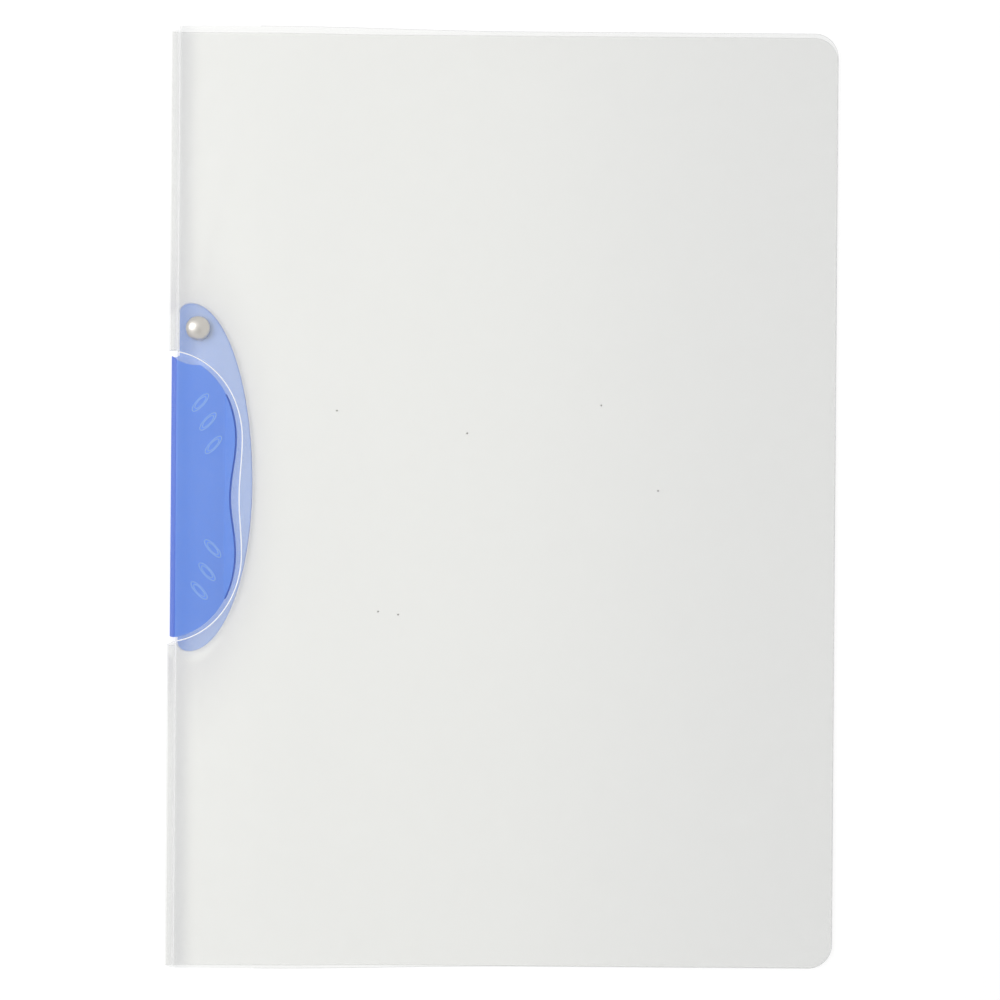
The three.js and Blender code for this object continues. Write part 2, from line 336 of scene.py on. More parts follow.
# %% Node group for the shade round an oval
def oval_shade():
    group = bpy.data.node_groups.new("oval_shade", "ShaderNodeTree")
    socket(group, "Centre", "NodeSocketVector")
    socket(group, "Half size", "NodeSocketVector")
    socket(group, "Reach", "NodeSocketFloat", value=1.4)
    socket(group, "Mask", "NodeSocketFloat", into=False)
    add = group.nodes.new
    link = group.links.new
    inside = add("NodeGroupInput")
    outside = add("NodeGroupOutput")
    place = add("ShaderNodeTexCoord")
    off = add("ShaderNodeVectorMath")
    off.operation = "SUBTRACT"
    scaled = add("ShaderNodeVectorMath")
    scaled.operation = "DIVIDE"
    far = add("ShaderNodeVectorMath")
    far.operation = "LENGTH"
    rise = add("ShaderNodeMapRange")
    rise.interpolation_type = "SMOOTHSTEP"
    rise.inputs["From Min"].default_value = 0.98
    rise.inputs["From Max"].default_value = 1.03
    fade = add("ShaderNodeMapRange")
    fade.inputs["From Min"].default_value = 1.0
    fade.inputs["To Min"].default_value = 1.0
    fade.inputs["To Max"].default_value = 0.0
    steep = add("ShaderNodeMath")
    steep.operation = "POWER"
    steep.inputs[1].default_value = 2.0
    both = add("ShaderNodeMath")
    both.operation = "MULTIPLY"
    link(place.outputs["Object"], off.inputs[0])
    link(inside.outputs["Centre"], off.inputs[1])
    link(off.outputs["Vector"], scaled.inputs[0])
    link(inside.outputs["Half size"], scaled.inputs[1])
    link(scaled.outputs["Vector"], far.inputs[0])
    link(far.outputs["Value"], rise.inputs["Value"])
    link(far.outputs["Value"], fade.inputs["Value"])
    link(inside.outputs["Reach"], fade.inputs["From Max"])
    link(fade.outputs["Result"], steep.inputs[0])
    link(rise.outputs["Result"], both.inputs[0])
    link(steep.outputs["Value"], both.inputs[1])
    link(both.outputs["Value"], outside.inputs["Mask"])
    return group


rear_oval = {
    "Centre": ((SPINE + REAR_MIDDLE[0]) * MM, REAR_MIDDLE[1] * MM, 0.0),
    "Half size": (REAR_OUT * MM, 59 * MM, 1.0),
    "Reach": 1.6,
}
film_back = film_frosted.copy()
film_back.name = "film_frosted_back"
paint_shade_tone(film_back, oval_shade(), rear_oval, (0.06, 0.055, 0.09))
print("shade reaches", round((rear_oval["Reach"] - 1) * REAR_OUT, 1), "mm past the rear leaf")

# %% [markdown]
# ## Sheets cut flat, then folded
# Every large piece here began as a flat sheet: the covers were cut from film, and the clip is one sheet of
# plastic bent round into a U. It could be modelled folded straight away, but then each outline has to be
# worked out on a slope. So it is made as in the workshop: an outline is cut flat, scored across where it
# bends, and laid along a section. `Section` keeps the points of that section, seen along the spine, and
# says how far along it any place is.


# %% Section that a flat sheet is laid along
class Section:
    """Points (distance from the spine, height) in mm, and the length of sheet up to each."""

    def __init__(self, points):
        self.points = points
        self.length = [0.0]
        for a, b in zip(points, points[1:]):
            self.length.append(self.length[-1] + math.dist(a, b))

    def along(self, where, first=0):
        """Length of sheet up to a distance from the spine, looked for from point `first` on."""
        for i in range(first, len(self.points) - 1):
            a, b = self.points[i][0], self.points[i + 1][0]
            if a != b and (a - where) * (b - where) <= 0:
                step = self.length[i + 1] - self.length[i]
                return self.length[i] + step * (where - a) / (b - a)
        return self.length[-1]


def arc(cx, cy, rx, ry, start, stop, steps):
    """Points on an ellipse's arc, angles in degrees, both ends included."""
    angles = [math.radians(start + (stop - start) * i / steps) for i in range(steps + 1)]
    return [(cx + rx * math.cos(a), cy + ry * math.sin(a)) for a in angles]


def fall(start, stop, top, bottom, steps=36):
    """Points of a smooth fall between two levels."""
    shares = [i / steps for i in range(steps + 1)]
    drop = [(1 - math.cos(math.pi * s)) / 2 for s in shares]
    return [(start + (stop - start) * s, top + (bottom - top) * d) for s, d in zip(shares, drop)]


cover_under = CREASE_TOP - FILM
one_fall = Section(fall(*COVER_FALL, cover_under, COVER_REST))
print("the front cover's fall takes", round(one_fall.length[-1], 2), "mm of film")

# %% [markdown]
# ## A tree that lays the sheet along the section
# Geometry Nodes do the folding: the flat sheet's X is a length of sheet, so Sample Curve gives the place on
# the section at that length, and Set Position moves each point there while its Y stays. The rule is the
# same for the covers and for the clip, so one tree serves all three.


# %% Geometry Nodes tree that folds a sheet
def folding_tree():
    tree = bpy.data.node_groups.new("lay_sheet_on_section", "GeometryNodeTree")
    socket(tree, "Sheet", "NodeSocketGeometry")
    socket(tree, "Section", "NodeSocketObject")
    socket(tree, "Finish", "NodeSocketMaterial")
    socket(tree, "Folded", "NodeSocketGeometry", into=False)
    add = tree.nodes.new
    link = tree.links.new
    inside = add("NodeGroupInput")
    outside = add("NodeGroupOutput")
    section = add("GeometryNodeObjectInfo")
    flat = add("GeometryNodeInputPosition")
    parts = add("ShaderNodeSeparateXYZ")
    sample = add("GeometryNodeSampleCurve")
    sample.mode = "LENGTH"
    found = add("ShaderNodeSeparateXYZ")
    joined = add("ShaderNodeCombineXYZ")
    move = add("GeometryNodeSetPosition")
    real = add("GeometryNodeRealizeInstances")
    finish = add("GeometryNodeSetMaterial")
    link(inside.outputs["Section"], section.inputs["Object"])
    link(section.outputs["Geometry"], sample.inputs["Curves"])
    link(flat.outputs["Position"], parts.inputs["Vector"])
    link(parts.outputs["X"], sample.inputs["Length"])
    link(sample.outputs["Position"], found.inputs["Vector"])
    link(found.outputs["X"], joined.inputs["X"])
    link(parts.outputs["Y"], joined.inputs["Y"])
    link(found.outputs["Z"], joined.inputs["Z"])
    link(inside.outputs["Sheet"], move.inputs["Geometry"])
    link(joined.outputs["Vector"], move.inputs["Position"])
    link(move.outputs["Geometry"], real.inputs["Geometry"])
    link(real.outputs["Geometry"], finish.inputs["Geometry"])
    link(inside.outputs["Finish"], finish.inputs["Material"])
    link(finish.outputs["Geometry"], outside.inputs["Folded"])
    return tree


fold_tree = folding_tree()
print("tree", fold_tree.name, "has", len(fold_tree.nodes), "nodes")

# %% [markdown]
# ## Helpers that cut, fold and settle a sheet
# `cut_flat` makes one face from the outline and splits it across at every bend. `settled` turns whatever
# the modifiers make into a plain mesh, which is exactly what is seen.


# %% Cut, fold and settle
def placed(name, mesh):
    made = bpy.data.objects.new(name, mesh)
    bpy.context.scene.collection.objects.link(made)
    return made


def cut_flat(name, outline, scores):
    bm = bmesh.new()
    bm.faces.new([bm.verts.new((x * MM, y * MM, 0.0)) for x, y in outline])
    for x in scores:
        everything = bm.verts[:] + bm.edges[:] + bm.faces[:]
        bmesh.ops.bisect_plane(
            bm, geom=everything, dist=1e-7, plane_co=(x * MM, 0, 0), plane_no=(1, 0, 0)
        )
    mesh = bpy.data.meshes.new(name)
    bm.to_mesh(mesh)
    bm.free()
    return placed(name, mesh)


def set_input(modifier, name, value):
    """Sets a tree's named input by its socket's identifier."""
    for item in modifier.node_group.interface.items_tree:
        if item.name == name and item.in_out == "INPUT":
            modifier[item.identifier] = value
            return
    raise KeyError(name)


def settled(obj):
    graph = bpy.context.evaluated_depsgraph_get()
    mesh = bpy.data.meshes.new_from_object(obj.evaluated_get(graph))
    mesh.name = obj.name
    obj.modifiers.clear()
    obj.data = mesh
    return obj


def section_curve(section):
    data = bpy.data.curves.new("section", "CURVE")
    data.dimensions = "3D"
    spline = data.splines.new("POLY")
    spline.points.add(len(section.points) - 1)
    for point, (out, up) in zip(spline.points, section.points):
        point.co = ((SPINE + out) * MM, 0.0, up * MM, 1.0)
    return placed("section", data)


def folded(obj, section, finish):
    curve = section_curve(section)
    modifier = obj.modifiers.new("fold", "NODES")
    modifier.node_group = fold_tree
    set_input(modifier, "Section", curve)
    set_input(modifier, "Finish", finish)
    settled(obj)
    bpy.data.objects.remove(curve)
    return obj


# %% [markdown]
# ## Thickness and soft edges
# A cut sheet has a real thickness and slightly rounded edges, which catch a thin line of light. Solidify
# gives the thickness, Bevel rounds the edges and gives them the edge finish, and both are settled. Smooth
# shading with a sharpness angle keeps the flats flat.


# %% Thicken a folded sheet
SHEET = 0  # slot of a sheet's own finish
EDGE = 1  # and of its cut edge


def thickened(obj, thickness, offset, edge_finish):
    obj.data.materials.append(edge_finish)
    solid = obj.modifiers.new("thickness", "SOLIDIFY")
    solid.thickness = thickness * MM
    solid.offset = offset
    solid.use_even_offset = True
    solid.material_offset_rim = EDGE
    settled(obj)


def bevelled(obj, width, segments):
    bevel = obj.modifiers.new("edge", "BEVEL")
    bevel.width = width * MM
    bevel.segments = segments
    bevel.limit_method = "ANGLE"
    bevel.angle_limit = math.radians(50.0)
    bevel.material = EDGE
    settled(obj)
    obj.data.shade_smooth()
    obj.data.set_sharp_from_angle(angle=math.radians(24.0))


def added_slot(obj, finish):
    """Gives a piece one more finish and says which slot it is in."""
    obj.data.materials.append(finish)
    return len(obj.data.materials) - 1


# %% [markdown]
# ## The front cover
# The front cover is one sheet of frosted film. It lies level over the clip, falls in a long gentle S and
# rests on the back cover near the fore edge, where its corners are rounded. A window with two lobes is
# cut out of it along the crease, so that the clip can be reached with the cover closed.


# %% Outlines shared by the cut-outs and the clip
def lobed(half, lobe, waist, steps=48):
    """Upper to lower edge of a shape with two lobes, from the spine out and back again."""
    shoulder = arc(0, LOBE_UP, lobe, half - LOBE_UP, 90, 0, steps)
    dip = []
    for i in range(1, steps):
        up = LOBE_UP * (1 - 2 * i / steps)
        share = (1 - math.cos(math.pi * up / LOBE_UP)) / 2
        dip.append((waist + (lobe - waist) * share, up))
    lower = [(x, -y) for x, y in reversed(shoulder)]
    return shoulder + dip + lower


def fore_edge(foot, head):
    """The two rounded corners at the fore edge, from the foot to the head."""
    inner = PAGE_WIDTH - FORE_CORNER
    lower = arc(inner, foot + FORE_CORNER, FORE_CORNER, FORE_CORNER, -90, 0, 16)
    upper = arc(inner, head - FORE_CORNER, FORE_CORNER, FORE_CORNER, 0, 90, 16)
    return lower + upper


window = lobed(CLIP_HALF + 1.2, LOBE_OUT + 2.3, WAIST_OUT + 3.3)
print("window", len(window), "points, reaching", max(x for x, y in window), "mm from the spine")

# %% Make the front cover
cover_section = Section(
    [(CREASE_IN, cover_under), *one_fall.points, (PAGE_WIDTH, COVER_REST)]
)
cover_outline = [
    (CREASE_IN, -HALF_PAGE),
    *fore_edge(-HALF_PAGE, HALF_PAGE),
    (CREASE_IN, HALF_PAGE),
    *[(max(x, CREASE_IN), y) for x, y in window if x > CREASE_IN - 1.0],
]
cover_flat = [(cover_section.along(x), y) for x, y in cover_outline]
front_film = cut_flat("front_film", cover_flat, cover_section.length[1:-1])
folded(front_film, cover_section, film_frosted)
thickened(front_film, FILM, 1.0, film_edge)
bevelled(front_film, 0.24, 2)
# The window's edges take the near-white finish and the crease's edges the light crease finish: both are
# painted highlights.
window_highlight_slot = added_slot(front_film, film_window_highlight)
crease_highlight_slot = added_slot(front_film, film_crease)
past_window = (SPINE + 27) * MM
past_crease = (SPINE + CREASE_IN + 0.4) * MM
for face in front_film.data.polygons:
    if face.material_index == EDGE and face.center.x < past_window:
        at_crease = face.center.x < past_crease
        face.material_index = crease_highlight_slot if at_crease else window_highlight_slot
print("front cover", len(front_film.data.vertices), "points")
print("front sheet", round(cover_section.length[-1], 1), "by", PAGE_HEIGHT, "mm flat")

# %% [markdown]
# ## The lip of the window
# The die that cuts the window squeezes the film up into a fine rounded lip, which shows as the brightest
# line; its near-white finish is a painted highlight. It could be drawn in the material, but a line has to
# follow the edge exactly, so Geometry Nodes sweep a small round wire along the edge's own curve. The wire's
# thickness is the tree's input, so the same tree also rounds the crease, where the cover turns over into
# the spine strip, with a light finish that is a painted highlight too, and later draws a dark line along
# the edge of the clip's rear leaf, which is painted shade.


# %% Tree that sweeps a wire along an edge
def wire_tree():
    tree = bpy.data.node_groups.new("wire_along_edge", "GeometryNodeTree")
    socket(tree, "Edge", "NodeSocketGeometry")
    socket(tree, "Radius", "NodeSocketFloat", value=0.12 * MM)
    socket(tree, "Finish", "NodeSocketMaterial")
    socket(tree, "Wire", "NodeSocketGeometry", into=False)
    add = tree.nodes.new
    link = tree.links.new
    inside = add("NodeGroupInput")
    outside = add("NodeGroupOutput")
    path = add("GeometryNodeMeshToCurve")
    wire = add("GeometryNodeCurvePrimitiveCircle")
    wire.inputs["Resolution"].default_value = 8
    swept = add("GeometryNodeCurveToMesh")
    swept.inputs["Fill Caps"].default_value = True
    real = add("GeometryNodeRealizeInstances")
    finish = add("GeometryNodeSetMaterial")
    link(inside.outputs["Edge"], path.inputs["Mesh"])
    link(inside.outputs["Radius"], wire.inputs["Radius"])
    link(path.outputs["Curve"], swept.inputs["Curve"])
    link(wire.outputs["Curve"], swept.inputs["Profile Curve"])
    link(swept.outputs["Mesh"], real.inputs["Geometry"])
    link(real.outputs["Geometry"], finish.inputs["Geometry"])
    link(inside.outputs["Finish"], finish.inputs["Material"])
    link(finish.outputs["Geometry"], outside.inputs["Wire"])
    return tree


edge_tree = wire_tree()


def wire_along(name, points, finish, radius):
    mesh = bpy.data.meshes.new(name)
    pairs = [(i, i + 1) for i in range(len(points) - 1)]
    mesh.from_pydata([[c * MM for c in point] for point in points], pairs, [])
    wire = placed(name, mesh)
    modifier = wire.modifiers.new("wire", "NODES")
    modifier.node_group = edge_tree
    set_input(modifier, "Radius", radius * MM)
    set_input(modifier, "Finish", finish)
    settled(wire)
    wire.data.shade_smooth()
    return wire


# %% Lay the lip and the creases
lip_radius = 0.12
edge_top = CREASE_TOP - lip_radius
edge_points = [(SPINE + x, y, edge_top) for x, y in window if x > CREASE_IN + 0.3]
window_lip = wire_along("window_lip", edge_points, film_window_highlight, lip_radius)
# The crease wires take the light crease finish: painted highlight.
crease_height = CREASE_TOP - 0.26
crease_folds = []
for side, name in ((1, "crease_head"), (-1, "crease_foot")):
    ends = (side * NOTCH_HALF, side * (HALF_PAGE - 0.4))
    run = [(SPINE + CREASE_IN, y, crease_height) for y in ends]
    crease_folds.append(wire_along(name, run, film_crease, 0.16))
print("window lip", len(window_lip.data.polygons), "faces")

# %% [markdown]
# ## The back cover
# The back cover and the spine strip are one sheet of film too. The strip leans in from the crease, turns
# under in a small round fold and becomes the back panel, which runs level over the clip's rear leaf and
# then drops to the desk. A notch in the spine lets the clip's wall through, its lower end cut aslant.

# %% Make the back cover
strip_lean = 40.0
fold = 0.8  # radius of the fold
fold_steps = 10
back_section = Section(
    [
        (STRIP_IN, STRIP_TOP),
        *arc(fold, PANEL_RISE + fold, fold, fold, 180 - strip_lean, 270, fold_steps),
        *fall(*PANEL_FALL, PANEL_RISE, 0.0),
        (PAGE_WIDTH, 0.0),
    ]
)
panel_from = 1 + fold_steps
head = HALF_PAGE - HEAD_STEP
edge_of_panel = back_section.along(WALL_IN + 1.7, panel_from)
lowest = -NOTCH_HALF - 1.0
slant = 2.0 * (STRIP_IN + 1.0) / (CREASE_IN + 1.0)
middle_of_fold = back_section.length[6]
back_flat = [
    (0.0, -HALF_PAGE),
    *[(back_section.along(x, panel_from), y) for x, y in fore_edge(-HALF_PAGE, head)],
    (0.0, head),
    (0.0, NOTCH_HALF),
    (edge_of_panel, NOTCH_HALF),
    (edge_of_panel, lowest),
    (middle_of_fold, lowest),
    (0.0, lowest + slant),
]
back_film = cut_flat("back_film", back_flat, back_section.length[1:-1])
folded(back_film, back_section, film_back)
print("back cover", len(back_film.data.vertices), "points, strip", round(edge_of_panel, 2), "mm")

# %% [markdown]
# ## Turned pieces
# The rivet's cap and post are round, so their profiles are spun about the rivet's axis. The same helper
# makes the cutters for the hole in the film and for the clip's bore and swing clearance. Boolean cuts
# keep the solids closed.


# %% Spin a profile, and cut with it
def turned(name, profile):
    """Closed turned solid about the rivet's axis, from points (radius, height) in mm."""
    bm = bmesh.new()
    verts = [bm.verts.new((r * MM, 0.0, h * MM)) for r, h in profile]
    edges = [bm.edges.new(pair) for pair in zip(verts, verts[1:])]
    bmesh.ops.spin(
        bm, geom=verts + edges, cent=(0, 0, 0), axis=(0, 0, 1), angle=math.tau, steps=96
    )
    bmesh.ops.remove_doubles(bm, verts=bm.verts[:], dist=1e-7)
    bmesh.ops.recalc_face_normals(bm, faces=bm.faces[:])
    bmesh.ops.translate(bm, verts=bm.verts[:], vec=((SPINE + RIVET_IN) * MM, RIVET_UP * MM, 0.0))
    mesh = bpy.data.meshes.new(name)
    bm.to_mesh(mesh)
    bm.free()
    return placed(name, mesh)


def cut(obj, cutter):
    boolean = obj.modifiers.new("cut", "BOOLEAN")
    boolean.operation = "DIFFERENCE"
    boolean.solver = "EXACT"
    boolean.object = cutter
    settled(obj)
    bpy.data.objects.remove(cutter)


# %% Thicken the back cover and pierce it
thickened(back_film, FILM, 1.0, film_edge)
hole = turned("hole", [(0, -1), (SHANK, -1), (SHANK, 9), (0, 9)])
cut(back_film, hole)
bevelled(back_film, 0.14, 2)
# The strip's top edge at the crease takes the light crease finish: painted highlight.
crease_highlight_slot = added_slot(back_film, film_crease)
strip_edge = (STRIP_TOP - 0.7) * MM
for face in back_film.data.polygons:
    if face.material_index == EDGE and face.center.z > strip_edge:
        face.material_index = crease_highlight_slot
print("back sheet", round(back_section.length[-1], 1), "by", PAGE_HEIGHT - HEAD_STEP, "mm flat")
print("back cover cut,", len(back_film.data.polygons), "faces")

# %% [markdown]
# ## The clip
# The clip is one sheet of blue plastic, 1.4 mm thick. Its rear leaf lies behind the back cover, the wall
# comes up through the notch in the spine, and the front leaf slopes down to the line where it grips the
# sheets and flares up again as a lip. It is cut flat as one shape, rear leaf on the left and front leaf
# on the right of the wall, and bent round like the covers. The swing clearance round the rivet is cut
# from the wall and the front leaf only.

# %% The clip's section
mid = CLIP_SHEET / 2
wall_middle = WALL_IN + mid
foot_bend = 0.9
foot_steps = 6
inside_bend = 1.1
bend_mid = inside_bend + mid
bend_up = CLIP_TOP - inside_bend - CLIP_SHEET
lip_out = GRIP_LINE + 4.6
rise = 1.3 * 4.6 / 3.6
clip_section = Section(
    [
        (REAR_TIP, mid),
        *arc(wall_middle + foot_bend, mid + foot_bend, foot_bend, foot_bend, 270, 180, foot_steps),
        *arc(wall_middle + bend_mid, bend_up, bend_mid, bend_mid, 180, 82, 10),
        (GRIP_LINE, GRIP_HEIGHT),
        (lip_out, GRIP_HEIGHT + rise),
    ]
)
leaf_from = foot_steps + 2
wall_low = clip_section.length[3]
wall_high = clip_section.length[9]
print("clip's section", round(clip_section.length[-1], 1), "mm long")


def on_rear(x):
    return REAR_TIP - x


def on_leaf(x):
    return clip_section.along(max(x, wall_middle + 0.001), leaf_from)


# %% Cut and bend the clip
rear_in = 3.3  # the rear leaf's straight side by the spine
round_in = REAR_MIDDLE[0] - rear_in
rear_upper = arc(*REAR_MIDDLE, REAR_OUT, 60, 0, 90, 64)
rear_upper += arc(REAR_MIDDLE[0], 61, round_in, 3, 90, 180, 10)[1:]
rear_lower = arc(REAR_MIDDLE[0], -48.2, round_in, 3, 180, 270, 10)
rear_lower += arc(*REAR_MIDDLE, REAR_OUT, 55.2, 270, 360, 64)[1:]
leaf = [(x, y) for x, y in lobed(CLIP_HALF, LOBE_OUT, WAIST_OUT) if x > WALL_IN + 1.2]
wall_half = CLIP_HALF - 0.5
to_wall = [(on_rear(rear_in), CLIP_HALF), (on_rear(2.9), CLIP_HALF)]
to_wall += [(wall_low, wall_half), (wall_high, wall_half)]
clip_flat = [
    *[(on_rear(x), y) for x, y in rear_upper],
    *to_wall,
    *[(on_leaf(x), y) for x, y in leaf],
    *[(length, -y) for length, y in reversed(to_wall)],
    *[(on_rear(x), y) for x, y in rear_lower[:-1]],
]
clip_body = cut_flat("clip_body", clip_flat[::-1], clip_section.length[1:-1])
folded(clip_body, clip_section, clip_blue)
print("clip's sheet", len(clip_body.data.vertices), "points")

# %% Thicken and cut the clip
above_rear = CLIP_SHEET + 0.02
swing = [(0, above_rear), (SWING_CLEAR, above_rear), (SWING_CLEAR, 9), (0, 9)]
bore = [(0, -1), (4.1, -1), (4.1, 0.9), (SHANK, 0.9), (SHANK, 3), (0, 3)]
thickened(clip_body, CLIP_SHEET, 0.0, clip_edge)
cut(clip_body, turned("swing", swing))
cut(clip_body, turned("bore", bore))
bevelled(clip_body, 0.3, 3)
print("clip", len(clip_body.data.polygons), "faces")

# %% Finishes of the clip's parts
lip_slot = added_slot(clip_body, clip_lip_painted_shade)
rear_slot = added_slot(clip_body, clip_rear_painted_light)
between_leaves = 2.5 * MM
for face in clip_body.data.polygons:
    if face.material_index != SHEET:
        continue
    out = face.center.x / MM - SPINE
    # The rear leaf takes the lighter copy of the blue: painted light.
    if face.center.z < between_leaves:
        face.material_index = rear_slot
    # The lip takes the darker copy of the blue: painted shade.
    elif out > GRIP_LINE:
        face.material_index = lip_slot
    # The wall and its bend take the darker edge finish: the wall is seen edge-on through its thickness, and
    # on the bend the darker finish is painted shade.
    elif out < 4.6 and abs(face.normal.z) < 0.975:
        face.material_index = EDGE
# A dark wire along the rear leaf's edge, in the dark blue finish: painted shade.
rim_points = []
for x, y in [*rear_upper[::-1], *rear_lower[::-1]]:
    rim_points.append((SPINE + x - 0.25, y, CLIP_SHEET - 0.3))
rear_rim = wire_along("rear_rim", rim_points, clip_shadow, 0.28)
print("rear rim", len(rear_rim.data.polygons), "faces")

# %% [markdown]
# ## Grip ovals
# Six raised ovals give the thumb a hold on the front leaf. They repeat, so Geometry Nodes place them: a
# mesh of six points carries each oval's turn, an outer and an inner rim are swept round ellipses, and each
# copy lies on the leaf's slope. The sizes are the tree's named inputs.


# %% Tree for raised ovals
def oval_tree():
    tree = bpy.data.node_groups.new("raised_ovals", "GeometryNodeTree")
    socket(tree, "Places", "NodeSocketGeometry")
    socket(tree, "Long", "NodeSocketFloat", value=7.5 * MM)
    socket(tree, "Wide", "NodeSocketFloat", value=2.5 * MM)
    socket(tree, "Inner share", "NodeSocketFloat", value=0.68)
    socket(tree, "Rim", "NodeSocketFloat", value=0.13 * MM)
    socket(tree, "Flatness", "NodeSocketFloat", value=0.3)
    socket(tree, "Finish", "NodeSocketMaterial")
    socket(tree, "Ovals", "NodeSocketGeometry", into=False)
    add = tree.nodes.new
    link = tree.links.new
    inside = add("NodeGroupInput")
    outside = add("NodeGroupOutput")
    ring = add("GeometryNodeCurvePrimitiveCircle")
    ring.inputs["Resolution"].default_value = 56
    ring.inputs["Radius"].default_value = 0.5
    size = add("ShaderNodeCombineXYZ")
    size.inputs["Z"].default_value = 1.0
    shaped = add("GeometryNodeTransform")
    wire = add("GeometryNodeCurvePrimitiveCircle")
    wire.inputs["Resolution"].default_value = 10
    inner = add("GeometryNodeTransform")
    both = add("GeometryNodeJoinGeometry")
    swept = add("GeometryNodeCurveToMesh")
    flat = add("GeometryNodeTransform")
    low = add("ShaderNodeCombineXYZ")
    low.inputs["X"].default_value = 1.0
    low.inputs["Y"].default_value = 1.0
    turn = add("GeometryNodeInputNamedAttribute")
    turn.data_type = "FLOAT_VECTOR"
    turn.inputs["Name"].default_value = "turn"
    copies = add("GeometryNodeInstanceOnPoints")
    real = add("GeometryNodeRealizeInstances")
    finish = add("GeometryNodeSetMaterial")
    link(inside.outputs["Long"], size.inputs["X"])
    link(inside.outputs["Wide"], size.inputs["Y"])
    link(ring.outputs["Curve"], shaped.inputs["Geometry"])
    link(size.outputs["Vector"], shaped.inputs["Scale"])
    link(inside.outputs["Rim"], wire.inputs["Radius"])
    link(shaped.outputs["Geometry"], inner.inputs["Geometry"])
    link(inside.outputs["Inner share"], inner.inputs["Scale"])
    link(shaped.outputs["Geometry"], both.inputs["Geometry"])
    link(inner.outputs["Geometry"], both.inputs["Geometry"])
    link(both.outputs["Geometry"], swept.inputs["Curve"])
    link(wire.outputs["Curve"], swept.inputs["Profile Curve"])
    link(inside.outputs["Places"], copies.inputs["Points"])
    link(inside.outputs["Flatness"], low.inputs["Z"])
    link(swept.outputs["Mesh"], flat.inputs["Geometry"])
    link(low.outputs["Vector"], flat.inputs["Scale"])
    link(flat.outputs["Geometry"], copies.inputs["Instance"])
    link(turn.outputs["Attribute"], copies.inputs["Rotation"])
    link(copies.outputs["Instances"], real.inputs["Geometry"])
    link(real.outputs["Geometry"], finish.inputs["Geometry"])
    link(inside.outputs["Finish"], finish.inputs["Material"])
    link(finish.outputs["Geometry"], outside.inputs["Ovals"])
    return tree


# %% Place the ovals on the front leaf
def points_with_turns(name, places, turns):
    mesh = bpy.data.meshes.new(name)
    mesh.from_pydata([[c * MM for c in place] for place in places], [], [])
    turn = mesh.attributes.new("turn", "FLOAT_VECTOR", "POINT")
    for i, angles in enumerate(turns):
        turn.data[i].vector = angles
    return placed(name, mesh)


leaf_start = clip_section.points[-4]  # just before the bend's end
leaf_slope = math.atan2(leaf_start[1] - GRIP_HEIGHT, GRIP_LINE - leaf_start[0])


def leaf_top(x):
    return GRIP_HEIGHT + mid / math.cos(leaf_slope) + (GRIP_LINE - x) * math.tan(leaf_slope)


oval_places = []
oval_turns = []
oval_tilt = math.radians(48.0)
for x, up in ((10.9, 31.0), (13.4, 24.8), (15.2, 17.1)):
    for side in (1, -1):
        oval_places.append((SPINE + x, side * up, leaf_top(x)))
        tilt = Matrix.Rotation(side * oval_tilt, 3, "Z")
        lean = Matrix.Rotation(leaf_slope, 3, "Y") @ tilt
        oval_turns.append(lean.to_euler())
ovals_tree = oval_tree()
grip_ovals = points_with_turns("grip_ovals", oval_places, oval_turns)
modifier = grip_ovals.modifiers.new("ovals", "NODES")
modifier.node_group = ovals_tree
# The ovals' rims take the light blue finish: painted highlight.
set_input(modifier, "Finish", clip_rim_painted_highlight)
settled(grip_ovals)
grip_ovals.data.shade_smooth()
print("ovals", len(grip_ovals.data.polygons), "faces, slope", round(math.degrees(leaf_slope), 1))

# %% [markdown]
# ## Flecks in the film
# Six tiny dark flecks lie on the front cover, as on any sheet that has been handled. They repeat, so the
# oval tree places them too, with its sizes set to a fraction of a millimetre.


# %% Place the flecks
def height_on(section, x):
    for a, b in zip(section.points, section.points[1:]):
        if a[0] <= x <= b[0] and a[0] < b[0]:
            return a[1] + (b[1] - a[1]) * (x - a[0]) / (b[0] - a[0])
    raise ValueError(x)


fleck_spots = (
    (-54.6, 28.6),
    (-11.7, 21.6),
    (32.7, 31.2),
    (51.7, 3.0),
    (-34.0, -38.5),
    (-40.6, -37.5),
)
fleck_places = []
for x, y in fleck_spots:
    fleck_places.append((x, y, height_on(cover_section, x - SPINE) + FILM + 0.02))
turns = [(0.0, 0.0, math.radians(50 * i)) for i in range(len(fleck_spots))]
flecks = points_with_turns("film_flecks", fleck_places, turns)
modifier = flecks.modifiers.new("flecks", "NODES")
modifier.node_group = ovals_tree
fleck_grey = plastic("fleck_grey", (0.10, 0.09, 0.08), (0.16, 0.15, 0.13), 0.8, 0.7, 0.3)
for name, value in (("Long", 0.42), ("Wide", 0.3), ("Rim", 0.11)):
    set_input(modifier, name, value * MM)
set_input(modifier, "Finish", fleck_grey)
settled(flecks)
print("flecks", len(flecks.data.polygons), "faces")

# %% [markdown]
# ## The rivet
# A satin nickel rivet holds the clip: a domed cap inside the back cover, and a flat foot in a recess of the
# rear leaf. Nickel is a metal, so its colour comes from what it reflects, and a fine brushed noise in the
# roughness keeps the highlight soft.


